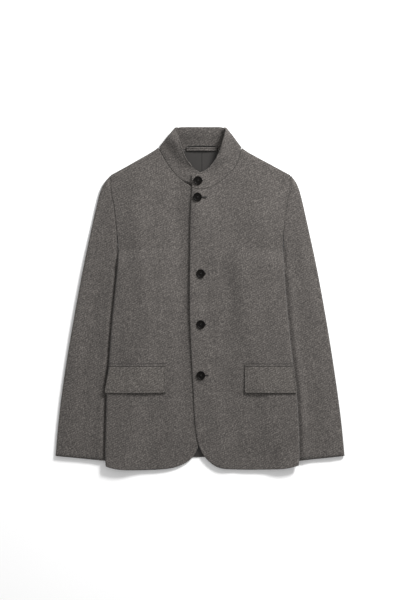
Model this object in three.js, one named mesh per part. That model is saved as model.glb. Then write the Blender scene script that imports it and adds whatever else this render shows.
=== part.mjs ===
// A stand-collar wool jacket, buttoned and laid flat on its back.
// Millimetres. +Z is up from the surface, +Y runs to the collar, +X to the wearer's left.
// The origin lies on the surface, under the middle of the garment. The tables measure
// across and along from the buttons' line and the chest, and CENTRE is the middle on them.
import * as THREE from 'three';

// Driving dimensions
const CLOTH = 2.4; // wool, its interlining and its lining together
const SEAM = 0.3; // air between pieces that are sewn together
const FLAT_SLEEVE = 8.6; // a sleeve's height as it lies
const FLAT_BODY = 8.6; // the body's height near its sides
const UNDER_FRONT = 6.4; // top of the wearer's right front at the middle
const OVER_FRONT = 9.4; // top of the wearer's left front where it overlaps
const LIFT = FLAT_SLEEVE + 0.4; // how far the body's sides ride up on the sleeves
const UNDERARM_Y = 112; // lower end of the armhole seam
const COLLAR_RISE = 16; // how far the collar's side folds stand above the back collar
const CENTRE = { x: -2, y: 2.4 };
const TUCK = { from: 58, to: 14, top: 86 }; // where the body's side climbs onto the tucked sleeve
const UNDERARM = { dip: 3, across: 32, along: 26 }; // how the armhole's edges draw together
const SIDE_FOLD_END = { from: 96, to: 114 }; // the side folds run out into the armhole here
const FOLD_CLOSE = 3.2; // width of the close columns beside a folded edge
const BUTTON_RADIUS = 10;
const BUTTON_HEIGHT = 3.4;

// Half widths of the body, from the hem up the side fold and the armhole seam
const BODY_SIDE = [
  { y: -382, right: 219, left: 224.5 },
  { y: -357, right: 221, left: 227 },
  { y: -300, right: 219, left: 225 },
  { y: -223, right: 217.5, left: 221 },
  { y: -145, right: 212, left: 212 },
  { y: -40, right: 204, left: 200 },
  { y: 90, right: 191, left: 190.5 },
  { y: 140, right: 191.5, left: 189.5 },
  { y: 180, right: 195, left: 192.5 },
  { y: 213, right: 198.5, left: 196.5 },
  { y: 248, right: 205.5, left: 202.5 },
  { y: 287, right: 207.5, left: 206 },
];

// Half widths to the sleeve's outer fold, from the cuff up to the sleeve head
const SLEEVE_SIDE = [
  { y: -359, right: 335, left: 331 },
  { y: -276, right: 328, left: 323 },
  { y: -166, right: 313.5, left: 308 },
  { y: -55, right: 295, left: 290.5 },
  { y: 69, right: 272, left: 268 },
  { y: 179, right: 249, left: 244.5 },
  { y: 235, right: 236, left: 231.8 },
  { y: 253, right: 231, left: 226.8 },
  { y: 271, right: 221.7, left: 219.4 },
  { y: 283, right: 211, left: 210 },
  { y: 287, right: 208.5, left: 207 },
];

// The sleeve's inner fold, hidden under the body
const INNER_FOLD = [
  { y: -372.5, right: 197, left: 203 },
  { y: 30, right: 118, left: 118 },
  { y: 82, right: 190, left: 190 },
];

// Shoulder line, from the neck point out to the sleeve head
const SHOULDER = [
  { right: 98.5, left: 94, y: 350 },
  { right: 116.6, left: 111.8, y: 338 },
  { right: 164.5, left: 162.4, y: 310.5 },
  { right: 190, left: 188, y: 296.5 },
  { right: 207.5, left: 206, y: 287 },
];

// Front edges, as x on each front, from the cut-away corner up to the collar
const FRONT_EDGE = [
  { y: -339, under: -6, over: -4 },
  { y: -299, under: 2, over: -12 },
  { y: -207, under: 14, over: -17.5 },
  { y: -103, under: 20, over: -23 },
  { y: -23, under: 22, over: -26 },
  { y: 139, under: 21, over: -25 },
  { y: 203, under: 20, over: -24 },
  { y: 257, under: 18, over: -20.5 },
];

// Hems, from the side fold to the front edge
const HEM_UNDER = [[-219, -382], [-205, -388], [-163, -391.5], [-110, -391], [-75, -388.5], [-51, -383],
  [-34, -375], [-18, -362], [-8.5, -347], [-6, -339]];
const HEM_OVER = [[224.5, -380], [210, -385.5], [180, -389], [110, -390.5], [53, -389], [38, -386],
  [19, -373], [4, -356], [-4, -339]];
const HEM_BACK = [[-219, -380], [-110, -368], [0, -362], [110, -367], [224.5, -379]];

// Neck seam on each front, from the front edge to the neck point
const NECK_UNDER = [[18, 257], [-3, 255.5], [-22, 261], [-40, 272.4], [-59.4, 289], [-75, 309], [-86, 328],
  [-98.5, 350]];
const NECK_OVER = [[-20.5, 257], [-5, 253.5], [14.9, 256], [36, 266], [56.8, 282], [69.7, 295], [83, 313],
  [94, 350]];

// The collar's upper edge on each side, from the buttoned end to the side fold
const COLLAR_UNDER = [[18, 286], [3, 290], [-17, 303], [-32, 320], [-43, 343], [-51, 370], [-59.5, 396]];
const COLLAR_OVER = [[-22, 287], [-10, 291], [3, 293], [20, 305], [36, 326], [47.5, 356], [58, 396]];

const BUTTONS = [
  { name: 'button_1', x: -6.8, y: 274.2 },
  { name: 'button_2', x: -7.8, y: 236.2 },
  { name: 'button_3', x: -0.6, y: 60.6 },
  { name: 'button_4', x: -0.4, y: -56.3 },
  { name: 'button_5', x: -0.2, y: -173.5 },
];

// Each flap's corners: its welt line at the top, its loose edge at the bottom
const FLAPS = [
  { name: 'right', inner: -80.5, topOuter: -210, lowOuter: -220.5, way: -1 },
  { name: 'left', inner: 101, topOuter: 212.5, lowOuter: 219.5, way: 1 },
];
const FLAP_TOP = -153.5;
const FLAP_LOW = -213;
const FLAP_CLOTH = 2.2;
const JET = { height: 6, cloth: 0.9 };

const wool = (tone) => new THREE.MeshStandardMaterial({ color: tone, roughness: 0.95, metalness: 0 });
const WOOL = wool(0x625e59);
const FLAP_WOOL = wool(0x68645f);
const LINING = wool(0x45413d);
const HORN = new THREE.MeshStandardMaterial({ color: 0x201c18, roughness: 0.4, metalness: 0 });

const mix = THREE.MathUtils.lerp;
const ease = (value, from, to) => {
  const t = THREE.MathUtils.clamp((value - from) / (to - from), 0, 1);
  return t * t * (3 - 2 * t);
};

// Reads a column of a table at a height y, on a smooth curve through its rows
function widthAt(table, side, y) {
  const points = table.map((row) => row[side]);
  let i = table.findIndex((row) => row.y > y) - 1;
  if (i < 0) {
    i = y <= table[0].y ? 0 : table.length - 2;
  }
  const slope = (k) => {
    const a = Math.max(k - 1, 0);
    const b = Math.min(k + 1, table.length - 1);
    return (points[b] - points[a]) / (table[b].y - table[a].y);
  };
  const span = table[i + 1].y - table[i].y;
  const t = THREE.MathUtils.clamp((y - table[i].y) / span, 0, 1);
  return points[i] * (1 + 2 * t) * (1 - t) ** 2 + slope(i) * span * t * (1 - t) ** 2
    + points[i + 1] * t * t * (3 - 2 * t) + slope(i + 1) * span * t * t * (t - 1);
}

// A smooth plan curve through a list of points, read by its share of length
function curve(points) {
  const line = new THREE.SplineCurve(points.map(([x, y]) => new THREE.Vector2(x, y)));
  return (share) => line.getPointAt(THREE.MathUtils.clamp(share, 0, 1));
}

const spaced = (line, count) => Array.from({ length: count + 1 }, (_, i) => line(i / count));

// The nearest place on a polyline and the way out of the garment from there
function nearest(line, p, inside) {
  let best = { d: Infinity };
  for (let i = 0; i < line.length - 1; i += 1) {
    const along = line[i + 1].clone().sub(line[i]);
    const t = THREE.MathUtils.clamp(p.clone().sub(line[i]).dot(along) / along.lengthSq(), 0, 1);
    const d = line[i].clone().addScaledVector(along, t).distanceTo(p);
    if (d < best.d) {
      const out = new THREE.Vector2(along.y, -along.x).normalize();
      const middle = line[i].clone().lerp(line[i + 1], 0.5);
      if (out.dot(inside.clone().sub(middle)) > 0) {
        out.negate();
      }
      best = { d, out };
    }
  }
  return best;
}

// How far the body's underside stands above the surface, where it lies on a sleeve
function lift(x, y) {
  const side = x < 0 ? 'right' : 'left';
  const share = THREE.MathUtils.clamp((y + 371) / 401, 0, 1.25);
  const fold = mix(INNER_FOLD[0][side], INNER_FOLD[1][side], share);
  const across = ease(Math.abs(x), fold - TUCK.from, fold - TUCK.to);
  return LIFT * across * (1 - ease(y, TUCK.top, UNDERARM_Y + 4));
}

// The armhole's two edges draw together at the underarm
function underarmDip(x, y) {
  const side = x < 0 ? 'right' : 'left';
  const away = (Math.abs(x) - widthAt(BODY_SIDE, side, y)) / UNDERARM.across;
  return UNDERARM.dip * Math.exp(-away * away - ((y - UNDERARM_Y) / UNDERARM.along) ** 2);
}

// Height of the body as it lies, back and front together
function bodyHeight(x, y, middle) {
  const reach = middle > FLAT_BODY ? { from: 22, to: 64 } : { from: 40, to: 150 };
  const inwards = (1 - ease(Math.abs(x), reach.from, reach.to)) * (1 - ease(y, 270, 335));
  return mix(FLAT_BODY, middle, inwards) - underarmDip(x, y);
}

const foldRadius = (height) => (height - CLOTH) / 2;
const sideFoldShare = (y) => 1 - ease(y, SIDE_FOLD_END.from, SIDE_FOLD_END.to);

// A closed wall between a grid of points moved out and in along their own directions
function wall(name, grid, thickness, material) {
  const rows = grid.length;
  const cols = grid[0].length;
  const positions = [];
  for (const way of [0.5, -0.5]) {
    for (const row of grid) {
      for (const { p, n } of row) {
        const q = p.clone().addScaledVector(n, way * thickness);
        positions.push(q.x, q.y, q.z);
      }
    }
  }
  const at = (layer, r, c) => layer * rows * cols + r * cols + c;
  const index = [];
  const quad = (a, b, c, d) => index.push(a, b, c, a, c, d);
  for (let r = 0; r < rows - 1; r += 1) {
    for (let c = 0; c < cols - 1; c += 1) {
      quad(at(0, r, c), at(0, r, c + 1), at(0, r + 1, c + 1), at(0, r + 1, c));
      quad(at(1, r, c), at(1, r + 1, c), at(1, r + 1, c + 1), at(1, r, c + 1));
    }
  }
  for (let c = 0; c < cols - 1; c += 1) {
    quad(at(0, 0, c), at(1, 0, c), at(1, 0, c + 1), at(0, 0, c + 1));
    quad(at(0, rows - 1, c), at(0, rows - 1, c + 1), at(1, rows - 1, c + 1), at(1, rows - 1, c));
  }
  for (let r = 0; r < rows - 1; r += 1) {
    quad(at(0, r, 0), at(0, r + 1, 0), at(1, r + 1, 0), at(1, r, 0));
    quad(at(0, r, cols - 1), at(1, r, cols - 1), at(1, r + 1, cols - 1), at(0, r + 1, cols - 1));
  }
  const corner = (i) => new THREE.Vector3().fromArray(positions, i * 3);
  let volume = 0;
  for (let i = 0; i < index.length; i += 3) {
    volume += corner(index[i]).dot(corner(index[i + 1]).cross(corner(index[i + 2])));
  }
  if (volume < 0) {
    index.reverse();
  }
  const geometry = new THREE.BufferGeometry();
  geometry.setAttribute('position', new THREE.Float32BufferAttribute(positions, 3));
  geometry.setIndex(index);
  geometry.computeVertexNormals();
  const mesh = new THREE.Mesh(geometry, material);
  mesh.name = name;
  return mesh;
}

// Plan points between a panel's two long edges, its columns close together at a folded edge.
// first and last are the panel's lower and upper edges, read by share from edge a to edge b.
function planGrid({ a, b, first, last, columns, closeA, closeB }) {
  const steps = [0, 0.13, 0.5, 1];
  return a.map((start, k) => {
    const end = b[k];
    const width = start.distanceTo(end);
    const v = k / (a.length - 1);
    const near = steps.map((s, i) => Math.min(s * closeA / width, 0.08 * i));
    const far = steps.map((s, i) => 1 - Math.min(s * closeB / width, 0.08 * i)).reverse();
    const from = closeA ? near : [0];
    const to = closeB ? far : [1];
    const low = from[from.length - 1];
    const high = to[0];
    const middle = Array.from({ length: columns - 1 }, (_, i) => mix(low, high, (i + 1) / columns));
    return [...from, ...middle, ...to].map((f) => {
      const p = start.clone().lerp(end, f);
      const bend = (edge, weight) => {
        const chord = edge(0).lerp(edge(1), f);
        p.addScaledVector(edge(f).sub(chord), weight);
      };
      bend(first, (1 - v) ** 3);
      bend(last, v ** 3);
      return p;
    });
  });
}

// Gives plan points their height, and turns them over at the fold, down for an upper
// panel and up for a lower one, so that the two meet at half the height
function raise(plan, { middle, upper, folds }) {
  const turn = upper ? -1 : 1;
  return plan.map((row) => row.map((p) => {
    const height = middle(p.x, p.y);
    let radius = 0;
    let angle = 0;
    let out = new THREE.Vector2();
    for (const fold of folds) {
      const r = fold.radius(p.x, p.y);
      const hit = nearest(fold.line, p, fold.inside);
      if (r > 0.05 && hit.d < r) {
        radius = r;
        angle = Math.asin(THREE.MathUtils.clamp(1 - hit.d / r, 0, 1));
        out = hit.out;
      }
    }
    const z = height + turn * (radius * (1 - Math.cos(angle)) - (angle > 1.5 ? SEAM / 2 : 0));
    const n = new THREE.Vector3(out.x * Math.sin(angle), out.y * Math.sin(angle), -turn * Math.cos(angle));
    return { p: new THREE.Vector3(p.x, p.y, z), n };
  }));
}

const signOf = { right: -1, left: 1 };

// Outline curves of one side, drawn half a wall inside where the cloth turns over
function outlines(side) {
  const way = signOf[side];
  const point = (x, y) => new THREE.Vector2(way * x, y);
  const inset = (y) => mix(CLOTH / 2 + SEAM, SEAM, ease(y, UNDERARM_Y + 4, UNDERARM_Y + 46));
  return {
    body: (y) => point(widthAt(BODY_SIDE, side, y) - inset(y), y),
    armhole: (y) => point(widthAt(BODY_SIDE, side, y) + inset(y), y),
    sleeve: (y) => point(widthAt(SLEEVE_SIDE, side, y) - CLOTH / 2, y),
    shoulder: curve(SHOULDER.map((row) => [way * row[side], row.y - CLOTH / 2])),
    inside: point(150, 0),
  };
}

// Rows up the body's side: the hem, the side fold, the underarm and the armhole
const SIDE_ROWS = [-382, -362, -330, -295, -255, -213, -175, -145, -110, -70, -30, 10, 45, 70, 86, 99, 112,
  126, 150, 180, 210];
const SIDE_FOLD_ROWS = SIDE_ROWS.slice(0, 17);
const ARMHOLE_ROWS = [219, 228, 237, 246, 255, 263, 271, 279, 284.5, 286.6];

// Shares of the neck seam's length at the rows beside the upper armhole
const NECK_SHARES = [...Array.from({ length: 8 }, (_, k) => (k + 1) / 9), 0.98, 0.995];

function front(name, side, edge, hem, neck, top) {
  const lines = outlines(side);
  const way = signOf[side];
  const a = [...SIDE_ROWS, ...ARMHOLE_ROWS].map((y) => lines.body(y));
  a[0].set(hem[0][0] - way * CLOTH / 2, hem[0][1]);
  const edgeRows = SIDE_ROWS.map((_, k) => mix(-339, 257, k / (SIDE_ROWS.length - 1)));
  const b = edgeRows.map((y) => new THREE.Vector2(widthAt(FRONT_EDGE, edge, y), y));
  const neckLine = curve(neck);
  b.push(...NECK_SHARES.map((share) => neckLine(share)));
  const shoulder = (share) => lines.shoulder(1 - share);
  const plan = planGrid({ a, b, first: curve(hem), last: shoulder, columns: 11, closeA: FOLD_CLOSE, closeB: 0 });
  const middle = (x, y) => lift(x, y) + bodyHeight(x, y, top) - CLOTH / 2;
  const sideLine = SIDE_FOLD_ROWS.map((y) => lines.body(y - 0.01));
  const radius = (x, y) => foldRadius(bodyHeight(x, y, top));
  const folds = [
    { line: sideLine, inside: lines.inside, radius: (x, y) => radius(x, y) * sideFoldShare(y) },
    { line: spaced(lines.shoulder, 12), inside: lines.inside, radius },
  ];
  return wall(name, raise(plan, { middle, upper: true, folds }), CLOTH, WOOL);
}

function back() {
  const rows = [...SIDE_ROWS, ...ARMHOLE_ROWS];
  const right = outlines('right');
  const left = outlines('left');
  const a = rows.map((y) => right.body(y));
  const b = rows.map((y) => left.body(y));
  a[0].set(-219 + CLOTH / 2, -380);
  b[0].set(224.5 - CLOTH / 2, -379);
  const neck = curve([[-97.5, 348.6], [-60, 345.5], [0, 344], [60, 345.5], [93, 348.6]]);
  const share = [0.28, 0.72];
  const top = (f) => {
    if (f < share[0]) {
      return right.shoulder(1 - f / share[0]);
    }
    if (f > share[1]) {
      return left.shoulder((f - share[1]) / (1 - share[1]));
    }
    return neck((f - share[0]) / (share[1] - share[0]));
  };
  const plan = planGrid({
    a, b, first: curve(HEM_BACK), last: top, columns: 25, closeA: FOLD_CLOSE, closeB: FOLD_CLOSE,
  });
  const radius = (x, y) => foldRadius(bodyHeight(x, y, UNDER_FRONT));
  const sideFold = (x, y) => radius(x, y) * sideFoldShare(y);
  const folds = [right, left].flatMap((lines) => [
    { line: SIDE_FOLD_ROWS.map((y) => lines.body(y - 0.01)), inside: lines.inside, radius: sideFold },
    { line: spaced(lines.shoulder, 12), inside: lines.inside, radius },
  ]);
  const middle = (x, y) => lift(x, y) + CLOTH / 2;
  return wall('back', raise(plan, { middle, upper: false, folds }), CLOTH, WOOL);
}

// The sleeve lies on the surface. Above the underarm its inner edge is the armhole seam,
// and below it the inner fold, which runs in under the body.
function sleeve(side, upper) {
  const way = signOf[side];
  const lines = outlines(side);
  const outerRows = [-359, -330, -290, -245, -200, -150, -100, -50, 0, 35, 65, 90, 106, 118, 130, 152,
    182, 211, 226, 241, 256, 269, 279, 285];
  const innerRows = [-372.5, -340, -297, -250, -202, -150, -98, -45, 0, 30, 60, 82, 97, 112, 126, 150,
    180, 210, 225, 240, 255, 268, 278, 284.5];
  const a = outerRows.map((y) => lines.sleeve(y));
  const hidden = (y) => {
    const [cuff, elbow, end] = INNER_FOLD;
    if (y > end.y) {
      return widthAt(BODY_SIDE, side, y) + 1.2;
    }
    return y > elbow.y
      ? mix(elbow[side], end[side], (y - elbow.y) / (end.y - elbow.y))
      : mix(cuff[side], elbow[side], (y - cuff.y) / (elbow.y - cuff.y));
  };
  const b = innerRows.map((y) => (y < UNDERARM_Y ? new THREE.Vector2(way * hidden(y), y) : lines.armhole(y)));
  const straight = (from, to) => (f) => from.clone().lerp(to, f);
  const last = a.length - 1;
  const plan = planGrid({
    a,
    b,
    first: straight(a[0], b[0]),
    last: straight(a[last], b[last]),
    columns: 7,
    closeA: FOLD_CLOSE,
    closeB: FOLD_CLOSE,
  });
  const height = (x, y) => FLAT_SLEEVE - underarmDip(x, y);
  const radius = (x, y) => foldRadius(height(x, y));
  const innerFold = b.slice(0, 14).map((p) => p.clone());
  const inside = new THREE.Vector2(way * 260, 0);
  const folds = [
    { line: [...spaced((t) => lines.sleeve(mix(-359, 287, t)), 40)], inside, radius },
    { line: spaced(lines.shoulder, 12), inside: lines.inside, radius },
    { line: innerFold, inside, radius: (x, y) => radius(x, y) * sideFoldShare(y) },
  ];
  const middle = upper ? (x, y) => height(x, y) - CLOTH / 2 : () => CLOTH / 2;
  const name = `${upper ? 'top' : 'under'}_sleeve_${side}`;
  return wall(name, raise(plan, { middle, upper, folds }), CLOTH, WOOL);
}

// Upper surface of each front, and the highest that it comes near a place
const topOf = (x, y, height) => lift(x, y) + bodyHeight(x, y, height);
const NEARBY = 9;
const highestNear = (x, y, height) => Math.max(...[-NEARBY, 0, NEARBY].map((dx) => topOf(x + dx, y, height)));

// Heights on the pattern of the collar's side folds and of its back's upper edge
const FOLD_FOOT = 351;
const FOLD_HEAD = 395.5;
const BACK_HEAD = 397.3;

// The collar runs from the end under the tab, round both side folds, to the tab
function collar() {
  const heightSteps = [0, 0.3, 0.65, 1];
  const none = new THREE.Vector2();
  const stations = [];
  const frontPart = (neck, top, height) => {
    const low = curve(neck);
    const high = curve(top);
    for (const share of [0, ...NECK_SHARES.slice(0, 8), 0.955]) {
      const foot = low(share);
      const head = high(share);
      const towards = head.clone().sub(foot).normalize();
      foot.addScaledVector(towards, 0.7);
      const z = topOf(foot.x, foot.y, height) - CLOTH / 2;
      const stand = COLLAR_RISE * ease(share, 0.25, 1) ** 1.4;
      stations.push({ foot, head, z, zHead: z + 0.6 + stand, outFoot: none, outHead: none, angle: 0 });
    }
  };
  const foldPart = (way, foot, head, zFoot, zHead) => {
    const outFoot = new THREE.Vector2(way * 0.78, 0.62);
    const outHead = new THREE.Vector2(way, 0);
    for (const degrees of [25, 50, 75, 100, 125, 150]) {
      const angle = THREE.MathUtils.degToRad(way < 0 ? degrees : 180 - degrees);
      const reach = (z) => (z - CLOTH / 2) / 2;
      const place = (base, out, z) => base.clone().addScaledVector(out, reach(z) * (Math.sin(angle) - 1));
      const level = (z) => CLOTH / 2 + reach(z) * (1 + Math.cos(angle));
      stations.push({
        foot: place(foot, outFoot, zFoot),
        head: place(head, outHead, zHead),
        z: level(zFoot),
        zHead: level(zHead),
        outFoot,
        outHead,
        angle,
      });
    }
  };
  frontPart(NECK_UNDER, COLLAR_UNDER, UNDER_FRONT);
  const rightLast = stations[stations.length - 1];
  const addFold = (way, foot, head) => {
    foldPart(way, new THREE.Vector2(way * foot, FOLD_FOOT), new THREE.Vector2(way * head, FOLD_HEAD),
      rightLast.z, rightLast.zHead);
  };
  addFold(-1, 96.3, 59);
  const backCount = 8;
  for (let i = 0; i <= backCount; i += 1) {
    const share = i / backCount;
    const foot = new THREE.Vector2(mix(-91, 88, share), 346 + 3 * (2 * share - 1) ** 2);
    const head = new THREE.Vector2(mix(-47.5, 46.5, share), BACK_HEAD);
    const z = CLOTH / 2;
    stations.push({ foot, head, z, zHead: z, outFoot: none, outHead: none, angle: Math.PI });
  }
  addFold(1, 93, 57.5);
  const mark = stations.length;
  frontPart(NECK_OVER, COLLAR_OVER, OVER_FRONT);
  stations.push(...stations.splice(mark).reverse());
  const grid = stations.map(({ foot, head, z, zHead, outFoot, outHead, angle }) => heightSteps.map((h) => {
    const plan = foot.clone().lerp(head, h);
    const out = outFoot.clone().lerp(outHead, h);
    const n = new THREE.Vector3(out.x * Math.sin(angle), out.y * Math.sin(angle), Math.cos(angle));
    return { p: new THREE.Vector3(plan.x, plan.y, mix(z, zHead, h)), n: n.normalize() };
  }));
  return wall('collar', grid, CLOTH, WOOL);
}

// A piece lying on a surface: a plan grid moved up to just above it
function laidOn(name, corners, counts, { surface, cloth, stand, material }) {
  const [a, b, c, d] = corners.map(([x, y]) => new THREE.Vector2(x, y));
  const grid = [];
  for (let r = 0; r <= counts.rows; r += 1) {
    const row = [];
    for (let k = 0; k <= counts.columns; k += 1) {
      const u = k / counts.columns;
      const v = r / counts.rows;
      const low = a.clone().lerp(b, u);
      const p = low.lerp(d.clone().lerp(c, u), v);
      const z = surface(p.x, p.y) + SEAM + cloth / 2 + stand(u, v);
      row.push({ p: new THREE.Vector3(p.x, p.y, z), n: new THREE.Vector3(0, 0, 1) });
    }
    grid.push(row);
  }
  return wall(name, grid, cloth, material);
}

function pocket({ name, inner, topOuter, lowOuter, way }) {
  const height = way > 0 ? OVER_FRONT : UNDER_FRONT;
  const surface = (x, y) => highestNear(x, y, height);
  const flap = laidOn(
    `flap_${name}`,
    [[inner, FLAP_LOW], [lowOuter, FLAP_LOW], [topOuter, FLAP_TOP], [inner, FLAP_TOP]],
    { rows: 4, columns: 10 },
    { surface, cloth: FLAP_CLOTH, stand: (u, v) => 2.4 * (1 - v) * (1 - 0.6 * u), material: FLAP_WOOL },
  );
  const low = FLAP_TOP + SEAM;
  const jet = laidOn(
    `jet_${name}`,
    [[inner, low], [topOuter, low], [topOuter, low + JET.height], [inner, low + JET.height]],
    { rows: 1, columns: 10 },
    { surface, cloth: JET.cloth, stand: () => 0, material: WOOL },
  );
  return [flap, jet];
}

function lining() {
  const surface = () => CLOTH;
  const stand = () => 0;
  const options = { surface, cloth: 0.8, stand, material: LINING };
  const seamX = 3;
  const half = (name, outer, inner) => laidOn(
    name,
    [[outer * 0.45, 238], [inner, 238], [inner, 343], [outer, 343]],
    { rows: 4, columns: 3 },
    options,
  );
  return [half('lining_right', -64, seamX - SEAM / 2), half('lining_left', 76, seamX + SEAM / 2)];
}

// A strip of cloth whose two ends lie at the neck seam and whose middle stands clear
function loop() {
  const rise = (u) => 0.4 + 2.7 * Math.sin(Math.PI * u) ** 0.5;
  return laidOn(
    'hanger_loop',
    [[-33.5, 343.7], [36.8, 343.7], [36.8, 351.6], [-33.5, 351.6]],
    { rows: 1, columns: 14 },
    { surface: () => CLOTH, cloth: 1.6, stand: rise, material: WOOL },
  );
}

function button({ name, x, y }) {
  const profile = [
    [0, 0], [0.72, 0], [0.95, 0.22], [1, 0.5], [0.96, 0.86], [0.84, 1], [0.7, 0.86], [0.6, 0.62], [0, 0.56],
  ].map(([r, z]) => new THREE.Vector2(r * BUTTON_RADIUS, z * BUTTON_HEIGHT));
  const geometry = new THREE.LatheGeometry(profile, 20);
  geometry.rotateX(Math.PI / 2);
  const mesh = new THREE.Mesh(geometry, HORN);
  mesh.name = name;
  const onCollar = name === 'button_1' ? 0.35 : 0;
  mesh.position.set(x, y, topOf(x, y, OVER_FRONT) + SEAM + 0.2 + onCollar);
  return mesh;
}

const garment = new THREE.Group();
garment.add(
  back(),
  front('front_right', 'right', 'under', HEM_UNDER, NECK_UNDER, UNDER_FRONT),
  front('front_left', 'left', 'over', HEM_OVER, NECK_OVER, OVER_FRONT),
  ...['right', 'left'].flatMap((side) => [sleeve(side, true), sleeve(side, false)]),
  collar(),
  ...lining(),
  loop(),
  ...FLAPS.flatMap(pocket),
  ...BUTTONS.map(button),
);
garment.position.set(-CENTRE.x, -CENTRE.y, 0);

export default garment;
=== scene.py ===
# %% [markdown]
# A wool jacket with a standing collar, laid flat and seen from straight above.
# The cutting pattern, the sizes and the way the layers lie on each other come with the
# frame, as plain solids. This script gives them their cloth: rounder edges, soft creases,
# stitching, buttons and the mottled surface of brushed flannel.

# %% Load the frame
import math
import bpy
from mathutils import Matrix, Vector
from mathutils.bvhtree import BVHTree


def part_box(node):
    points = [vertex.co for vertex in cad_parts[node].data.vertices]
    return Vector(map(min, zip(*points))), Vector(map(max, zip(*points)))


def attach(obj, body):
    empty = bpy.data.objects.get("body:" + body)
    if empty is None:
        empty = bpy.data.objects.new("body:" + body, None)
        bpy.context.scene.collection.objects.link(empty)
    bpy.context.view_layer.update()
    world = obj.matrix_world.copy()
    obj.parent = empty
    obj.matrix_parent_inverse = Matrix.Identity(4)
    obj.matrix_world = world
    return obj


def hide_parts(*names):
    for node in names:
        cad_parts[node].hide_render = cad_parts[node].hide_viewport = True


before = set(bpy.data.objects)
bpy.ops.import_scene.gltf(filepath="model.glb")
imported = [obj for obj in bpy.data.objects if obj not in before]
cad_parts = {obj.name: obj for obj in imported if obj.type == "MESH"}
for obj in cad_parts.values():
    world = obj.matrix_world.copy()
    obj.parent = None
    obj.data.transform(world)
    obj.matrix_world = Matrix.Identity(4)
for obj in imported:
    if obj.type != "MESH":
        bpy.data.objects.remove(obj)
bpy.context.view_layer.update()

MM = 0.001


def hex_to_linear(text):
    """An sRGB colour such as '625e59', as linear red, green, blue and alpha."""
    channels = [int(text[i:i + 2], 16) / 255 for i in (0, 2, 4)]
    linear = [c / 12.92 if c <= 0.04045 else ((c + 0.055) / 1.055) ** 2.4 for c in channels]
    return (*linear, 1.0)


def new_object(name, data):
    """An object at the origin with this data, in the scene."""
    made = bpy.data.objects.new(name, data)
    bpy.context.scene.collection.objects.link(made)
    return made


def select_only(*pieces):
    """Selects these objects alone and makes the first one active."""
    bpy.ops.object.select_all(action="DESELECT")
    for piece in pieces:
        piece.select_set(True)
    bpy.context.view_layer.objects.active = pieces[0]


# %% [markdown]
# The photograph is taken from straight above with a long lens, so its sides stay parallel.
# The camera hangs 3.2 metres above the cloth, and its lens is worked out from the strip of
# table that the picture's height covers.

# %% Camera
PICTURE_HEIGHT = 1380 * MM
CAMERA_HEIGHT = 3.2
CLOTH_LEVEL = 10 * MM
SENSOR = 36.0
TABLE_MIDDLE = (-0.2 * MM, -2.4 * MM)

camera_data = bpy.data.cameras.new("camera")
camera_data.sensor_fit = "VERTICAL"
camera_data.sensor_height = SENSOR
camera_data.sensor_width = SENSOR
camera_data.lens = SENSOR * CAMERA_HEIGHT / PICTURE_HEIGHT
camera = new_object("camera", camera_data)
camera.location = (*TABLE_MIDDLE, CAMERA_HEIGHT + CLOTH_LEVEL)
bpy.context.scene.camera = camera
print("lens in millimetres:", round(camera_data.lens, 1))

# %% [markdown]
# The garment lies on a white table in soft light. One large lamp at the upper right gives
# the shade on the left of each fold, and the bright room fills in the rest. A small lamp
# would draw hard shadows, which the photograph doesn't have.

# %% Floor and light
FLOOR_SIZE = 9.0
LAMP_PLACE = (1.15, 1.5, 1.35)
LAMP_SIZE = 0.7
LAMP_POWER = 78
ROOM_LIGHT = 0.62


def add_floor():
    bpy.ops.object.select_all(action="DESELECT")
    bpy.ops.mesh.primitive_plane_add(size=FLOOR_SIZE, location=(0, 0, 0))
    floor = bpy.context.object
    floor.name = "floor"
    material = bpy.data.materials.new("white_table")
    material.use_nodes = True
    shader = material.node_tree.nodes["Principled BSDF"]
    shader.inputs["Base Color"].default_value = hex_to_linear("fafafa")
    shader.inputs["Roughness"].default_value = 0.9
    floor.data.materials.append(material)


def add_lamp():
    """A round lamp that points at the middle of the table."""
    data = bpy.data.lights.new("window", "AREA")
    data.shape = "DISK"
    data.size = LAMP_SIZE
    data.energy = LAMP_POWER
    lamp = new_object("window", data)
    lamp.location = LAMP_PLACE
    lamp.rotation_euler = (-Vector(LAMP_PLACE)).to_track_quat("-Z", "Y").to_euler()


add_floor()
add_lamp()
world = bpy.data.worlds.new("room")
world.use_nodes = True
world.node_tree.nodes["Background"].inputs["Color"].default_value = (1, 1, 1, 1)
world.node_tree.nodes["Background"].inputs["Strength"].default_value = ROOM_LIGHT
bpy.context.scene.world = world
bpy.context.scene.view_settings.view_transform = "Standard"
print("one lamp of", LAMP_POWER, "watts, and a room at", ROOM_LIGHT)

# %% [markdown]
# Materials are small node trees. One function adds a node, sets its values and makes its
# links, so that each material below reads as a list of what it is made of. A second one
# starts a material, and a third adds a ramp that turns a pattern into colours.

# %% The node helper
WAVE_LENGTH = math.pi / 10


def add_node(tree, kind, values=(), links=(), **settings):
    """Adds a node. values fills sockets by name, links joins a socket to another's output."""
    node = tree.nodes.new(kind)
    for key, value in settings.items():
        setattr(node, key, value)
    for socket, value in dict(values).items():
        node.inputs[socket].default_value = value
    for socket, output in dict(links).items():
        tree.links.new(output, node.inputs[socket])
    return node


def new_material(name, roughness, sheen=0.0, sheen_roughness=0.5, ior=1.5):
    material = bpy.data.materials.new(name)
    material.use_nodes = True
    tree = material.node_tree
    shader = tree.nodes["Principled BSDF"]
    shader.inputs["Roughness"].default_value = roughness
    shader.inputs["IOR"].default_value = ior
    shader.inputs["Sheen Weight"].default_value = sheen
    shader.inputs["Sheen Roughness"].default_value = sheen_roughness
    where = add_node(tree, "ShaderNodeTexCoord").outputs["Object"]
    return material, tree, shader, where


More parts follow.
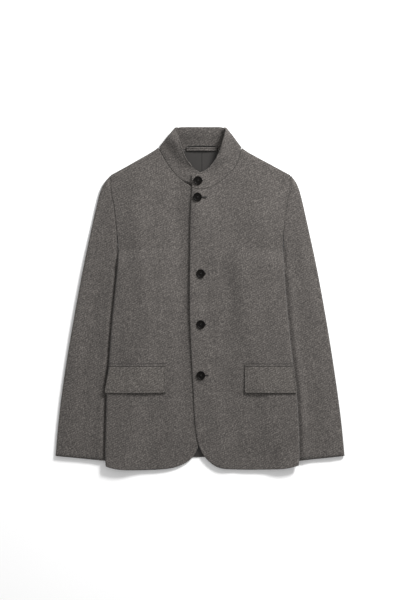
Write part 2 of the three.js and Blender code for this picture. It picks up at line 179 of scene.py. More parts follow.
def ramp(tree, source, stops):
    """A colour ramp through (place, hex colour) stops."""
    node = add_node(tree, "ShaderNodeValToRGB", links={"Fac": source})
    elements = node.color_ramp.elements
    while len(elements) < len(stops):
        elements.new(0.5)
    for element, (place, colour) in zip(elements, stops):
        element.position = place
        element.color = hex_to_linear(colour)
    return node.outputs["Color"]


def wave_scale(rib):
    """The scale at which a wave texture draws ribs of this width, each beside a furrow as wide."""
    return WAVE_LENGTH / (2 * rib)


def mixed(tree, share, first, second):
    """A blend of two values, with this share of the second."""
    return add_node(tree, "ShaderNodeMix", {"Factor": share}, {"A": first, "B": second}).outputs["Result"]


def noise(tree, where, size, values):
    """Cloudy noise with blobs of about this size, in metres."""
    node = add_node(tree, "ShaderNodeTexNoise", {"Scale": 1 / size, **values}, {"Vector": where})
    return node.outputs["Fac"]


def mapped(tree, where, values):
    """Coordinates that are turned or stretched."""
    return add_node(tree, "ShaderNodeMapping", values, {"Vector": where}).outputs["Vector"]


print("helpers for nodes are ready")

# %% [markdown]
# The cloth is wool flannel: dyed and undyed fibres are mixed before spinning, and the woven
# cloth is brushed until a short nap hides the weave. To the eye it is matt, grey-brown and
# mottled, with pale and dark flecks a few millimetres across where thicker tufts lie, and a
# faint diagonal from the twill under them. Noise at three sizes and a wave draw that. The
# flecks are drawn at the size at which they still show in the picture. A weak sheen stands
# for the nap. The flaps get a paler copy of the same cloth, painted lighter for the light
# that the raised flaps catch.

# %% Wool flannel
FLECK = 2.6 * MM
FINE_FLECK = 1.6 * MM
CLOUD = 45 * MM
TWILL_RIB = 2.4 * MM
TWILL_TURN = math.radians(63)
FLECK_STRETCH = 0.62
FINE_SHARE = 0.4
TWILL_SHARE = 0.05
CLOUD_SHARE = 0.05


def flannel(name, dark, middle, light):
    material, tree, shader, where = new_material(name, roughness=0.93, sheen=0.12, sheen_roughness=0.55)
    stretched = mapped(tree, where, {"Scale": (1.0, FLECK_STRETCH, 1.0)})
    turned = mapped(tree, where, {"Rotation": (0, 0, TWILL_TURN)})
    fleck = noise(tree, stretched, FLECK, {"Detail": 3.0, "Roughness": 0.75})
    fine = noise(tree, where, FINE_FLECK, {"Detail": 1.0, "Roughness": 0.6})
    cloud = noise(tree, where, CLOUD, {"Detail": 2.0, "Roughness": 0.5})
    wave = {"Scale": wave_scale(TWILL_RIB), "Distortion": 1.5, "Detail": 2.0, "Detail Scale": 2.0}
    twill = add_node(tree, "ShaderNodeTexWave", wave, {"Vector": turned}).outputs["Fac"]
    tone = mixed(tree, FINE_SHARE, fleck, fine)
    tone = mixed(tree, TWILL_SHARE, tone, twill)
    tone = mixed(tree, CLOUD_SHARE, tone, cloud)
    colour = ramp(tree, tone, [(0.385, dark), (0.5, middle), (0.615, light)])
    tree.links.new(colour, shader.inputs["Base Color"])
    bump = add_node(tree, "ShaderNodeBump", {"Strength": 0.35, "Distance": 0.4 * MM}, {"Height": tone})
    tree.links.new(bump.outputs["Normal"], shader.inputs["Normal"])
    return material


WOOL = flannel("wool_flannel", "2b2826", "44403d", "68635f")
# a paler copy of the wool, painted lighter for the light that falls on the flaps
FLAP_WOOL_PAINTED_LIGHTER = flannel("wool_flannel_flap_painted_lighter", "2d2a28", "47433f", "6f6a66")
print("wool flecks in millimetres:", FLECK / MM, FINE_FLECK / MM)

# %% [markdown]
# The lining is a smooth twill of viscose. It is darker and a little glossier than the wool,
# with fine ribs that run at 45 degrees and are too small to show one by one. Its colour is
# darkened further still, as painted shade for the hollow inside the collar and the gap at the
# hem. The sewing thread is dark at the buttons and grey on the flaps. The buttons are cast resin.

# %% Lining, thread and button materials
LINING_RIB = 1.2 * MM
LINING_SLUB = 18 * MM
THREAD_TWIST = 0.5 * MM
RESIN_CLOUD = 7 * MM


def lining_twill_and_shade():
    material, tree, shader, where = new_material("viscose_lining_and_painted_shade", roughness=0.55, sheen=0.05)
    turned = mapped(tree, where, {"Rotation": (0, 0, math.radians(45))})
    wave = {"Scale": wave_scale(LINING_RIB), "Distortion": 0.6}
    rib = add_node(tree, "ShaderNodeTexWave", wave, {"Vector": turned}).outputs["Fac"]
    tone = mixed(tree, 0.6, rib, noise(tree, where, LINING_SLUB, {"Detail": 3.0}))
    # the dark lining colours also paint the shade inside the collar and in the gap at the hem
    tree.links.new(ramp(tree, tone, [(0.2, "171411"), (0.8, "1e1a17")]), shader.inputs["Base Color"])
    bump = add_node(tree, "ShaderNodeBump", {"Strength": 0.2, "Distance": 0.1 * MM}, {"Height": rib})
    tree.links.new(bump.outputs["Normal"], shader.inputs["Normal"])
    return material


def sewing_thread(name, dark, light):
    material, tree, shader, where = new_material(name, roughness=0.85)
    twist = noise(tree, where, THREAD_TWIST, {"Detail": 2.0})
    tree.links.new(ramp(tree, twist, [(0.35, dark), (0.65, light)]), shader.inputs["Base Color"])
    return material


def button_resin():
    """Polyester cast to look like dark horn: cloudy, with a soft polish."""
    material, tree, shader, where = new_material("dark_horn_resin", roughness=0.42, ior=1.4)
    shader.inputs["Specular IOR Level"].default_value = 0.12
    stretched = mapped(tree, where, {"Scale": (1.0, 0.35, 1.0)})
    cloud = noise(tree, stretched, RESIN_CLOUD, {"Detail": 4.0, "Distortion": 1.2})
    tree.links.new(ramp(tree, cloud, [(0.35, "060505"), (0.7, "120f0d")]), shader.inputs["Base Color"])
    return material


LINING_AND_SHADE = lining_twill_and_shade()
# dark sewing thread, also used for the painted shade in the jet's ditch and in the hollow above the hanger
# loop
DARK_THREAD_AND_SHADE = sewing_thread("dark_thread_and_painted_shade", "0e0d0c", "1b1917")
WOOL_THREAD = sewing_thread("grey_thread", "2c2927", "45403c")
RESIN = button_resin()
print("materials:", len(bpy.data.materials))

# %% [markdown]
# Each cloth piece starts as a copy of its plain solid. Its triangles are joined back into
# four-sided faces, the rim's edges are marked so that they stay in place, and a
# subdivision surface turns the facets into a smooth wall. Building the pieces this way
# keeps every seam where the pattern has it. The shading is smooth too, apart from the rims.

# %% A smooth copy of a solid
RIM_ANGLE = math.radians(48)
JOIN_ANGLE = math.radians(60)
SHADE_ANGLE = math.radians(50)
SAME_POINT = 0.01 * MM


def copy_of(node, name):
    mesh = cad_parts[node].data.copy()
    mesh.materials.clear()
    piece = new_object(name, mesh)
    select_only(piece)
    return piece


def four_sided():
    """Joins the active piece's triangles and marks its rims."""
    bpy.ops.object.mode_set(mode="EDIT")
    bpy.ops.mesh.select_all(action="SELECT")
    bpy.ops.mesh.remove_doubles(threshold=SAME_POINT)
    bpy.ops.mesh.tris_convert_to_quads(face_threshold=JOIN_ANGLE, shape_threshold=JOIN_ANGLE)
    bpy.ops.mesh.select_all(action="DESELECT")
    bpy.ops.mesh.select_mode(type="EDGE")
    bpy.ops.mesh.edges_select_sharp(sharpness=RIM_ANGLE)
    bpy.ops.transform.edge_crease(value=1.0)
    bpy.ops.mesh.select_mode(type="VERT")
    bpy.ops.object.mode_set(mode="OBJECT")


def apply_modifier(piece, kind, **settings):
    modifier = piece.modifiers.new(kind.lower(), kind)
    for key, value in settings.items():
        setattr(modifier, key, value)
    bpy.ops.object.modifier_apply(modifier=modifier.name)


def cloth_piece(node, material, levels=2):
    """A smooth cloth wall that stands for one solid of the frame."""
    piece = copy_of(node, node + "_cloth")
    four_sided()
    apply_modifier(piece, "SUBSURF", levels=levels, render_levels=levels)
    piece.data.materials.append(material)
    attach(piece, "root")
    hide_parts(node)
    print(node, "has", len(piece.data.polygons), "faces")
    return piece


def shade_smooth(piece):
    select_only(piece)
    bpy.ops.object.shade_smooth_by_angle(angle=SHADE_ANGLE)


def finish_cloth(piece):
    shade_smooth(piece)


# %% [markdown]
# Cloth that has been worn and laid down by hand keeps long soft hollows and ridges. Each
# row below is one of them: where its middle lies, which way it runs, how long and wide it
# is and how far it rises or sinks. All the pieces on top read the same table, so a crease
# crosses a seam without a step. The edge of the left front has a rise of its own, because it
# stands up a little between the buttons.

# %% The creases of the upper side
CREASES = [
    # x, y: middle; turn: degrees from the X axis; long, wide, high: millimetres
    {"x": -160, "y": 168, "turn": 90, "long": 62, "wide": 48, "high": 5.6},
    {"x": 160, "y": 168, "turn": 90, "long": 62, "wide": 48, "high": 5.6},
    {"x": -108, "y": 30, "turn": 90, "long": 290, "wide": 68, "high": 7.0},
    {"x": -42, "y": -10, "turn": 90, "long": 190, "wide": 17, "high": -5.2},
    {"x": -6, "y": 215, "turn": 89, "long": 95, "wide": 25, "high": 9.0},
    {"x": -58, "y": 246, "turn": 84, "long": 60, "wide": 15, "high": -2.2},
    {"x": -34, "y": -250, "turn": 89, "long": 90, "wide": 15, "high": -2.0},
    {"x": -140, "y": 150, "turn": 92, "long": 170, "wide": 22, "high": 3.2},
    {"x": -106, "y": -20, "turn": 88, "long": 150, "wide": 19, "high": -2.0},
    {"x": -165, "y": -90, "turn": 95, "long": 120, "wide": 18, "high": 2.2},
    {"x": -120, "y": -300, "turn": 88, "long": 80, "wide": 20, "high": -1.9},
    {"x": -160, "y": -320, "turn": 84, "long": 60, "wide": 16, "high": 1.8},
    {"x": 22, "y": -40, "turn": 95, "long": 110, "wide": 17, "high": -3.2},
    {"x": 20, "y": 170, "turn": 88, "long": 60, "wide": 15, "high": 2.1},
    {"x": 62, "y": 20, "turn": 86, "long": 230, "wide": 25, "high": -2.0},
    {"x": 96, "y": -60, "turn": 93, "long": 190, "wide": 24, "high": 3.8},
    {"x": 118, "y": 190, "turn": 78, "long": 90, "wide": 20, "high": 2.2},
    {"x": 160, "y": 60, "turn": 95, "long": 130, "wide": 19, "high": 2.1},
    {"x": 44, "y": -300, "turn": 97, "long": 100, "wide": 18, "high": 2.5},
    {"x": 80, "y": -320, "turn": 90, "long": 90, "wide": 17, "high": -2.0},
    {"x": 150, "y": -310, "turn": 86, "long": 70, "wide": 18, "high": 1.5},
    {"x": 34, "y": -130, "turn": 20, "long": 34, "wide": 11, "high": 2.0},
    {"x": 26, "y": -210, "turn": 160, "long": 30, "wide": 9, "high": -1.9},
    {"x": 26, "y": 96, "turn": 25, "long": 30, "wide": 10, "high": 1.6},
    {"x": 22, "y": -24, "turn": 15, "long": 26, "wide": 9, "high": 1.6},
    {"x": -246, "y": -30, "turn": 82, "long": 150, "wide": 14, "high": -2.4},
    {"x": -272, "y": 30, "turn": 79, "long": 170, "wide": 13, "high": 2.4},
    {"x": -292, "y": -200, "turn": 83, "long": 130, "wide": 14, "high": 1.9},
    {"x": -266, "y": -250, "turn": 86, "long": 90, "wide": 11, "high": -1.6},
    {"x": -226, "y": 200, "turn": 66, "long": 55, "wide": 12, "high": -2.5},
    {"x": 246, "y": 60, "turn": 100, "long": 170, "wide": 14, "high": 2.5},
    {"x": 236, "y": -160, "turn": 97, "long": 130, "wide": 13, "high": -2.0},
    {"x": 288, "y": -240, "turn": 97, "long": 120, "wide": 15, "high": 2.1},
    {"x": 262, "y": -300, "turn": 92, "long": 60, "wide": 12, "high": -1.5},
]


EDGE_RISE = {"x": -24, "y": 10, "wide": 17, "long": 150, "high": 2.6}
FAR_ALONG = 2.2
FAR_ACROSS = 3


def crease_height(x, y):
    """The creases' height at a place, in metres."""
    total = 0.0
    for row in CREASES:
        turn = math.radians(row["turn"])
        dx = x / MM - row["x"]
        dy = y / MM - row["y"]
        along = (dx * math.cos(turn) + dy * math.sin(turn)) / row["long"]
        across = (dy * math.cos(turn) - dx * math.sin(turn)) / row["wide"]
        if abs(along) < FAR_ALONG and abs(across) < FAR_ACROSS:
            total += row["high"] * math.exp(-along * along - across * across)
    return total * MM


def left_front_height(x, y):
    """The creases' height with the rise of the left front's edge."""
    across = (x / MM - EDGE_RISE["x"]) / EDGE_RISE["wide"]
    along = (y / MM - EDGE_RISE["y"]) / EDGE_RISE["long"]
    edge = EDGE_RISE["high"] * math.exp(-across * across - along * along)
    return crease_height(x, y) + edge * MM


def crease(piece, height=crease_height):
    """Lifts and lowers a piece's points with the creases."""
    for vertex in piece.data.vertices:
        vertex.co.z += height(vertex.co.x, vertex.co.y)
    piece.data.update()


print("creases:", len(CREASES))

# %% [markdown]
# Pressing and stitching leave narrow hollows along a line. A line is a row of places on the
# pattern, in millimetres. Sinking the points near it gives the seam its shade.

# %% Lines on the cloth
ORIGIN_SHIFT = (2.0, -2.4)
PRESS_REACH = 3
UPPER_SIDE = 0.2


def on_table(points):
    """Pattern places, measured from the photograph's middle, as places in the frame in metres."""
    return [Vector(((x + ORIGIN_SHIFT[0]) * MM, (y + ORIGIN_SHIFT[1]) * MM, 0)) for x, y in points]


def smooth_step(value, low, high):
    """Rises softly from 0 at low to 1 at high."""
    share = min(max((value - low) / (high - low), 0.0), 1.0)
    return share * share * (3 - 2 * share)


def distance_to(line, place):
    """The distance in metres from a place to a line, both seen from above."""
    best = 1.0
    for start, end in zip(line, line[1:]):
        along = end - start
        share = (place - start).dot(along) / along.length_squared
        nearest = start + along * min(max(share, 0.0), 1.0)
        best = min(best, (place - nearest).length)
    return best


def sink_along(piece, line, width, depth):
    """Presses the upper side down along a line, or raises it where the depth is below 0."""
    low_x, high_x = (edge(place.x for place in line) for edge in (min, max))
    low_y, high_y = (edge(place.y for place in line) for edge in (min, max))
    reach = PRESS_REACH * width
    for vertex in piece.data.vertices:
        x, y, _ = vertex.co
        beside = low_x - reach < x < high_x + reach and low_y - reach < y < high_y + reach
        if beside and vertex.normal.z > UPPER_SIDE:
            near = distance_to(line, Vector((x, y, 0))) / width
            if near < PRESS_REACH:
                vertex.co.z -= depth * math.exp(-near * near)
    piece.data.update()


print("the pattern's middle lies at", ORIGIN_SHIFT, "millimetres in the frame")

# %% [markdown]
# A thin cord or a row of small stitches laid on a line gives the seam its edge. The height
# is looked up on the piece that carries it, so the line follows each crease. A cord is a
# curve with a round section, turned into a mesh. A stitch is a small ball, stretched along
# the line, and a row of its copies is joined into one mesh.

# %% Cords and stitches
CORD_STEP = 4 * MM
STITCH = 2.7 * MM
STITCH_GAP = 0.8 * MM
STITCH_RADIUS = 0.34 * MM
STITCH_RISE = 0.1 * MM
ABOVE_ALL = 1.0


def evenly(line, step):
    """Places at equal steps along a line, each with the direction there."""
    places = []
    left_over = 0.0
    for start, end in zip(line, line[1:]):
        length = (end - start).length
        direction = (end - start) / length
        reached = left_over
        while reached <= length:
            places.append((start + direction * reached, direction))
            reached += step
        left_over = reached - length
    return places


def surface_of(piece):
    """A search tree of the piece's faces, for finding its upper side."""
    corners = [vertex.co for vertex in piece.data.vertices]
    return BVHTree.FromPolygons(corners, [list(face.vertices) for face in piece.data.polygons])


def top_of(surface, place):
    """The height of the upper side at a place, or None beside it."""
    where = surface.ray_cast(Vector((place.x, place.y, ABOVE_ALL)), Vector((0, 0, -1)))[0]
    return where.z if where is not None else None


def cord(name, piece, line, radius, rise=0.0):
    """A thin cord of cloth that follows a line on a piece's upper side."""
    places = []
    surface = surface_of(piece)
    for place, _ in evenly(line, CORD_STEP):
        height = top_of(surface, place)
        if height is not None:
            places.append((place.x, place.y, height + rise))
    data = bpy.data.curves.new(name, "CURVE")
    data.dimensions = "3D"
    data.bevel_depth = radius
    data.bevel_resolution = 2
    data.use_fill_caps = True
    data.resolution_u = 3
    spline = data.splines.new("NURBS")
    spline.points.add(len(places) - 1)
    for point, place in zip(spline.points, places):
        point.co = (*place, 1.0)
    spline.use_endpoint_u = True
    select_only(new_object(name, data))
    bpy.ops.object.convert(target="MESH")
    result = bpy.context.object
    print(name, "has", len(result.data.polygons), "faces")
    return result


def small_part(piece, material):
    piece.data.materials.append(material)
    shade_smooth(piece)
    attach(piece, "root")


def stitches(name, piece, line, material):
    """A row of sewn stitches along a line, one mesh."""
    bpy.ops.object.select_all(action="DESELECT")
    bpy.ops.mesh.primitive_uv_sphere_add(segments=6, ring_count=5, radius=STITCH_RADIUS,
                                         location=(0, 0, 0))
    model = bpy.context.object
    for vertex in model.data.vertices:
        vertex.co.x *= STITCH / 2 / STITCH_RADIUS
    made = []
    surface = surface_of(piece)
    for place, direction in evenly(line, STITCH + STITCH_GAP):
        height = top_of(surface, place)
        if height is None:
            continue
        one = new_object(name, model.data.copy())
        for vertex in one.data.vertices:
            x, y, z = vertex.co
            vertex.co = Vector((place.x + x * direction.x - y * direction.y,
                                place.y + x * direction.y + y * direction.x,
                                height + z + STITCH_RISE))
        made.append(one)
    bpy.data.objects.remove(model)
    select_only(*made)
    bpy.ops.object.join()
    small_part(made[0], material)
    print(name, "has", len(made), "stitches")


print("a stitch and its gap in millimetres:", STITCH / MM, STITCH_GAP / MM)

# %% [markdown]
# The back and the under sleeves lie on the table and carry everything else. They show only
# from below and at the hem, so they keep the plain form of cloth pressed flat.

# %% Back and under sleeves
back = cloth_piece("back", WOOL)
finish_cloth(back)
for side in ("left", "right"):
    under = cloth_piece("under_sleeve_" + side, WOOL)
    finish_cloth(under)

# %% [markdown]
# The top sleeves and the fronts are most of what the picture shows. The body's side lies on
# each sleeve and presses a hollow into it. Beside the hollow the sleeve swells again. The
# armhole's seam is pressed too. The fronts get one more subdivision than the sleeves,
# because the long creases cross them.

# %% Top sleeves and fronts
BODY_EDGE = {
    "right": [(-221, -362), (-220, -300), (-217, -223), (-212, -145), (-204, -40), (-193, 60), (-192, 112)],
    "left": [(227, -362), (225, -300), (221, -223), (212, -145), (200, -40), (192, 60), (190, 112)],
}
ARMHOLE = {
    "right": [(-192, 112), (-192, 150), (-195, 180), (-198.5, 213), (-205.5, 248), (-207.5, 284)],
    "left": [(190, 112), (190, 150), (192.5, 180), (196.5, 213), (202.5, 248), (206, 284)],
}
SIDE_HOLLOW = {"width": 4.0 * MM, "depth": 3.8 * MM}
SLEEVE_SWELL = {"width": 7.0 * MM, "depth": -3.4 * MM}
SWELL_PLACE = {"left": Vector((11 * MM, 0, 0)), "right": Vector((-11 * MM, 0, 0))}
ARMHOLE_SEAM = {"width": 4.5 * MM, "depth": 1.3 * MM}
for side in ("left", "right"):
    top = cloth_piece("top_sleeve_" + side, WOOL)
    crease(top)
    body_edge = on_table(BODY_EDGE[side])
    sink_along(top, body_edge, **SIDE_HOLLOW)
    sink_along(top, [place + SWELL_PLACE[side] for place in body_edge[:-1]], **SLEEVE_SWELL)
    sink_along(top, on_table(ARMHOLE[side]), **ARMHOLE_SEAM)
    finish_cloth(top)
fronts = {}
for side in ("left", "right"):
    fronts[side] = cloth_piece("front_" + side, WOOL, levels=3)
crease(fronts["right"])
crease(fronts["left"], left_front_height)

# %% [markdown]
# The collar is one band, stitched to the neck seam and stiffened, so it stands up round the
# neck. At the back its upper edge rises and shows the collar's inside. At the sides it
# leans up from the neck seam, and its ends lie flat under the top button. Near the seam it
# follows the creases of the fronts.

# %% Collar
BACK_STAND = 14.0
BACK_RISE = (348, 392)
SIDE_STAND = {"right": 10.0, "left": 11.0}
SIDE_LEAN = (15, 44)
END_RISE = (284, 330)
SIDE_FADE = (350, 392)
SIDE_END = 385
UPPER_LAYER = 6.5
NECK_SEAM = {
    "right": [(-22, 261), (-40, 272.4), (-59.4, 289), (-75, 309), (-86, 328), (-98.5, 350)],
    "left": [(14.9, 256), (36, 266), (56.8, 282), (69.7, 295), (83, 313), (94, 350)],
}


def collar_stand(collar):
    """Lifts the collar's back and sides. The sizes are in millimetres."""
    top = max(vertex.co.z for vertex in collar.data.vertices) / MM
    for vertex in collar.data.vertices:
        x, y, z = vertex.co / MM
        lies_on_top = z > UPPER_LAYER
        back_lift = BACK_STAND * smooth_step(y, *BACK_RISE)
        z = back_lift + z * (1 - back_lift / top)
        if lies_on_top:
            z += crease_height(x * MM, y * MM) / MM
        if lies_on_top and y < SIDE_END:
            side = "left" if x > 0 else "right"
            away = distance_to(on_table(NECK_SEAM[side]), Vector((x * MM, y * MM, 0))) / MM
            lean = smooth_step(away, *SIDE_LEAN) * smooth_step(y, *END_RISE)
            z += SIDE_STAND[side] * lean * (1 - smooth_step(y, *SIDE_FADE))
        vertex.co.z = z * MM
    collar.data.update()


collar = cloth_piece("collar", WOOL, levels=3)
collar_stand(collar)
finish_cloth(collar)

# %% [markdown]
# The collar's upper edge is turned and pressed, and the turn catches the light as a thin
# pale line. A cord of cloth, 2.2 mm thick and half sunk in the collar, follows it on both
# sides of the opening.

# %% The collar's turned edge
COLLAR_EDGE = {
    "right": [(-56.5, 391), (-51.5, 372), (-44.5, 346), (-34, 323), (-20, 306), (-9, 299.5), (-2, 296.5)],
    "left": [(-18, 289.5), (-6, 291), (3, 292.2), (20, 304), (36, 325), (46.5, 354), (56, 391)],
}
COLLAR_EDGE_RADIUS = 1.1 * MM
for side in ("right", "left"):
    small_part(cord("collar_edge_" + side, collar, on_table(COLLAR_EDGE[side]), COLLAR_EDGE_RADIUS), WOOL)

# %% [markdown]
# Each pocket's mouth is closed by a flap, which hangs from under a narrow welt, the jet. The
# flap is two layers of cloth, turned at the edge and stitched a little inside it. The ditch
# between the jet and the front is a thin dark cord: painted shade for the ditch. Each front
# is finished here, because the jet is too narrow for a sheet of its own and belongs to the front's.

# %% Flaps and jets
JET_DITCH = 4.8 * MM
JET_EDGE_RADIUS = 0.7 * MM
DITCH_RADIUS = 0.75 * MM
FLAP_EDGE_RADIUS = 0.8 * MM
EDGE_LIFT = 0.1 * MM
STITCH_HOLLOW = {"width": 1.5 * MM, "depth": 0.8 * MM}
JET_LINE = {"right": [(-211, -151.6), (-82, -151.6)], "left": [(102, -151.6), (212, -151.6)]}
FLAP_EDGE = {
    "right": [(-210, -156), (-220, -211.9), (-81.5, -211.9), (-81.5, -156)],
    "left": [(102, -156), (102, -211.9), (218.6, -211.9), (212, -156)],
}
FLAP_STITCH = {
    "right": [(-211.5, -156), (-216.5, -208.6), (-84.8, -208.6), (-84.8, -156)],
    "left": [(105.3, -156), (105.3, -208.6), (216, -208.6), (209.5, -156)],
}
for side in ("left", "right"):
    # the flaps' wool is painted lighter for the light they catch
    flap = cloth_piece("flap_" + side, FLAP_WOOL_PAINTED_LIGHTER, levels=3)
    crease(flap)
    stitched = on_table(FLAP_STITCH[side])
    sink_along(flap, stitched, **STITCH_HOLLOW)
    stitches("flap_stitching_" + side, flap, stitched, WOOL_THREAD)
    flap_edge = cord("flap_edge_" + side, flap, on_table(FLAP_EDGE[side]), FLAP_EDGE_RADIUS, EDGE_LIFT)
    small_part(flap_edge, FLAP_WOOL_PAINTED_LIGHTER)
    finish_cloth(flap)
    jet = cloth_piece("jet_" + side, WOOL, levels=3)
    crease(jet)
    shade_smooth(jet)
    jet_line = on_table(JET_LINE[side])
    small_part(cord("jet_edge_" + side, jet, jet_line, JET_EDGE_RADIUS, EDGE_LIFT), WOOL)
    ditch = [place + Vector((0, JET_DITCH, 0)) for place in jet_line]
    # a dark cord that paints the shade in the ditch above the jet
    small_part(cord("jet_ditch_painted_shade_" + side, fronts[side], ditch, DITCH_RADIUS), DARK_THREAD_AND_SHADE)
    finish_cloth(fronts[side])

# %% [markdown]
# The hanger loop is a rolled strip whose ends are caught in the neck seam. Its rolled edges
# are two cords. The dark line above it is painted shade: a dark cord laid in the hollow in
# which the loop lies. The lining is pressed flat and sharp, so it keeps its facets. Its middle
# seam is a thin dark cord, sunk until only its upper side shows.

# %% Lining and hanger loop
LOOP_MIDDLE = (347.65 + ORIGIN_SHIFT[1]) * MM
LOOP_HALF = 4 * MM
LOOP_ROUND = 1.1 * MM
LOOP_CORD_RADIUS = 1.3 * MM
LOOP_CORD_RISE = 0.3 * MM
SEAM_RADIUS = 0.9 * MM
SEAM_RISE = -0.35 * MM
loop = cloth_piece("hanger_loop", WOOL, levels=3)
for vertex in loop.data.vertices:
    across = (vertex.co.y - LOOP_MIDDLE) / LOOP_HALF
    if vertex.normal.z > -UPPER_SIDE:
        vertex.co.z += LOOP_ROUND * (1 - min(across * across, 1.0))
shade_smooth(loop)
for name, y in (("low", 344.6), ("high", 349.6)):
    strip = on_table([(-32.5, y), (0, y + 0.2), (36, y)])
    small_part(cord("hanger_loop_edge_" + name, loop, strip, LOOP_CORD_RADIUS, LOOP_CORD_RISE), WOOL)
# a dark cord that paints the shade of the hollow above the loop
hollow = on_table([(-35, 347.0), (-32, 353.6), (0, 355.0), (34, 354.2), (38.4, 348.0)])
small_part(cord("hanger_loop_hollow_painted_shade", collar, hollow, LOOP_CORD_RADIUS, LOOP_CORD_RISE), DARK_THREAD_AND_SHADE)
for side in ("left", "right"):
    # the lining's colour also paints the shade inside the collar
    half = cloth_piece("lining_" + side, LINING_AND_SHADE, levels=1)
    finish_cloth(half)
    bpy.ops.object.shade_flat()
    if side == "right":
        folded = on_table([(2.4, 262), (2.4, 341)])
        small_part(cord("lining_seam", half, folded, SEAM_RADIUS, SEAM_RISE), DARK_THREAD_AND_SHADE)

# %% [markdown]
# Where the fronts are cut away at the hem, the inside of the back shows. It is lined too, so
# a small piece of lining, cut to just more than what shows, lies on it. It is a thin box,
# divided and then laid on the back point by point.

# %% The back's lining at the hem
HEM_MIDDLE = (0.0, -340.0)
HEM_WIDTH = 46 * MM
HEM_LENGTH = 41 * MM
HEM_THICKNESS = 0.6 * MM
HEM_CLEARANCE = 0.05
CLOTH = 2.4 * MM


def hem_lining():
    bpy.ops.object.select_all(action="DESELECT")
    bpy.ops.mesh.primitive_cube_add(size=1, location=(0, 0, 0))
    piece = bpy.context.object
    piece.name = "hem_lining"
    bpy.ops.object.mode_set(mode="EDIT")
    bpy.ops.mesh.subdivide(number_cuts=7)
    bpy.ops.object.mode_set(mode="OBJECT")
    surface = surface_of(back)
    middle = on_table([HEM_MIDDLE])[0]
    for vertex in piece.data.vertices:
        x, y, z = vertex.co
        place = middle + Vector((x * HEM_WIDTH, y * HEM_LENGTH, 0))
        level = top_of(surface, place) or CLOTH
        vertex.co = Vector((place.x, place.y, level + (z + 0.5 + HEM_CLEARANCE) * HEM_THICKNESS))
    print("hem_lining has", len(piece.data.polygons), "faces")
    return piece


# the patch's lining colour also paints the shade in the gap between the fronts
small_part(hem_lining(), LINING_AND_SHADE)

# %% [markdown]
# The buttons are 20 mm across, turned from a dark horn-like resin: a raised rim, a dished
# middle and four holes. One is modelled from a cylinder by insetting its upper face three
# times and pushing the middle down, and the holes are cut with a boolean. All five are
# copies of its mesh, and so are their threads: two loops that cross between the holes.

# %% One button
BUTTON_RADIUS = 10 * MM
BUTTON_HEIGHT = 3.4 * MM
RIM_WIDTH = 1.9 * MM
DISH_SLOPE = 1.0 * MM
DISH_DEPTH = 1.1 * MM
MIDDLE_SLOPE = 2.2 * MM
MIDDLE_DEPTH = 0.15 * MM
EDGE_ROUND = 0.55 * MM
HOLE_RADIUS = 0.95 * MM
HOLE_PLACE = 2.0 * MM
THREAD_RADIUS = 0.42 * MM
THREAD_MIDDLE = 1.5 * MM
THREAD_LOWEST = -0.3 * MM
THREAD_FLATNESS = 0.62


def select_faces(piece, wanted):
    """Selects the faces that wanted(face) is true for, from object mode."""
    for face in piece.data.polygons:
        face.select = wanted(face)


def turned_button():
    bpy.ops.object.select_all(action="DESELECT")
    bpy.ops.mesh.primitive_cylinder_add(vertices=56, radius=BUTTON_RADIUS, depth=BUTTON_HEIGHT,
                                        location=(0, 0, BUTTON_HEIGHT / 2))
    button = bpy.context.object
    bpy.ops.object.transform_apply(location=True, rotation=True, scale=True)
    bpy.ops.object.mode_set(mode="EDIT")
    bpy.ops.mesh.select_mode(type="FACE")
    bpy.ops.mesh.select_all(action="DESELECT")
    bpy.ops.object.mode_set(mode="OBJECT")
    select_faces(button, lambda face: face.normal.z > 0.9)
    bpy.ops.object.mode_set(mode="EDIT")
    bpy.ops.mesh.inset(thickness=RIM_WIDTH)
    bpy.ops.mesh.inset(thickness=DISH_SLOPE, depth=-DISH_DEPTH)
    bpy.ops.mesh.inset(thickness=MIDDLE_SLOPE, depth=-MIDDLE_DEPTH)
    bpy.ops.object.mode_set(mode="OBJECT")
    apply_modifier(button, "BEVEL", width=EDGE_ROUND, segments=4, limit_method="ANGLE",
                   angle_limit=math.radians(35))
    for x in (-HOLE_PLACE, HOLE_PLACE):
        for y in (-HOLE_PLACE, HOLE_PLACE):
            bpy.ops.object.select_all(action="DESELECT")
            bpy.ops.mesh.primitive_cylinder_add(vertices=20, radius=HOLE_RADIUS, depth=4 * BUTTON_HEIGHT,
                                                location=(x, y, 0))
            drill = bpy.context.object
            bpy.context.view_layer.objects.active = button
            apply_modifier(button, "BOOLEAN", object=drill, operation="DIFFERENCE", solver="EXACT")
            bpy.data.objects.remove(drill)
    return button


def thread_loop(turn):
    """A flattened loop of sewing thread through two opposite holes."""
    bpy.ops.object.select_all(action="DESELECT")
    bpy.ops.mesh.primitive_torus_add(major_radius=HOLE_PLACE * math.sqrt(2), minor_radius=THREAD_RADIUS,
                                     major_segments=28, minor_segments=8, location=(0, 0, THREAD_MIDDLE),
                                     rotation=(math.pi / 2, 0, turn))
    made = bpy.context.object
    bpy.ops.object.transform_apply(location=True, rotation=True, scale=True)
    for vertex in made.data.vertices:
        height = THREAD_MIDDLE + (vertex.co.z - THREAD_MIDDLE) * THREAD_FLATNESS
        vertex.co.z = max(height, THREAD_LOWEST)
    return made


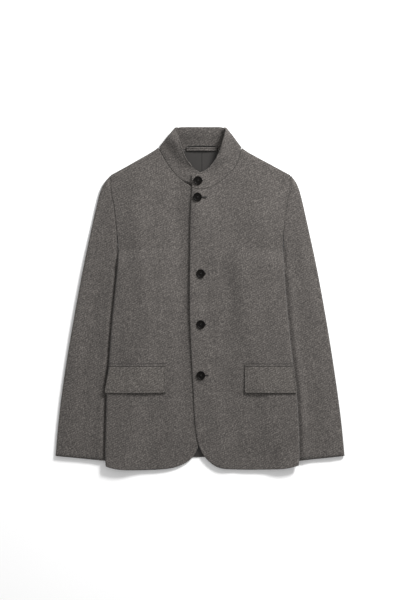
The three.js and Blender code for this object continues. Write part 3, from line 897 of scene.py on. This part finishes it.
def place_copy(source, name, offset):
    piece = new_object(name, source.data.copy())
    for vertex in piece.data.vertices:
        vertex.co += offset
    return piece


button_model = turned_button()
thread_model = thread_loop(math.radians(45))
crossing = thread_loop(math.radians(135))
select_only(thread_model, crossing)
bpy.ops.object.join()
print("button faces:", len(button_model.data.polygons))
print("thread faces:", len(thread_model.data.polygons))

# %% [markdown]
# A worked buttonhole is a slit whose edges are covered with close stitches of thread. Only
# its end shows beyond each button. A stretched ring of thread, as thick as the stitches
# stand, gives the two lips and the dark line between them.

# %% Buttons, thread and buttonholes
# how long each buttonhole's ring is stretched, from beside the middle of its button
BUTTONHOLE_LENGTH = {1: 13.0 * MM, 2: 23.5 * MM, 3: 13.5 * MM, 4: 13.5 * MM, 5: 18.5 * MM}
LIP = 0.75 * MM
LIP_THREAD = 0.7 * MM
HOLE_START = Vector((-2 * MM, 0, -0.35 * MM))


def buttonhole_ring(name, start, length):
    bpy.ops.object.select_all(action="DESELECT")
    bpy.ops.mesh.primitive_circle_add(vertices=20, radius=LIP, location=(0, 0, 0))
    ring = bpy.context.object
    ring.name = name
    for vertex in ring.data.vertices:
        if vertex.co.x > 0:
            vertex.co.x += length
        vertex.co += start
    bpy.ops.object.convert(target="CURVE")
    ring.data.bevel_depth = LIP_THREAD
    ring.data.bevel_resolution = 2
    bpy.ops.object.convert(target="MESH")
    return bpy.context.object


for number, length in BUTTONHOLE_LENGTH.items():
    node = "button_%d" % number
    low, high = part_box(node)
    middle = Vector(((low[0] + high[0]) / 2, (low[1] + high[1]) / 2, low[2]))
    height = crease_height if number == 1 else left_front_height
    middle.z += height(middle.x, middle.y)
    button = place_copy(button_model, node + "_turned", middle)
    small_part(button, RESIN)
    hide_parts(node)
    small_part(place_copy(thread_model, node + "_thread", middle), DARK_THREAD_AND_SHADE)
    small_part(buttonhole_ring("buttonhole_%d" % number, middle + HOLE_START, length), DARK_THREAD_AND_SHADE)
bpy.data.objects.remove(button_model)
bpy.data.objects.remove(thread_model)
print("buttons:", len(BUTTONHOLE_LENGTH))
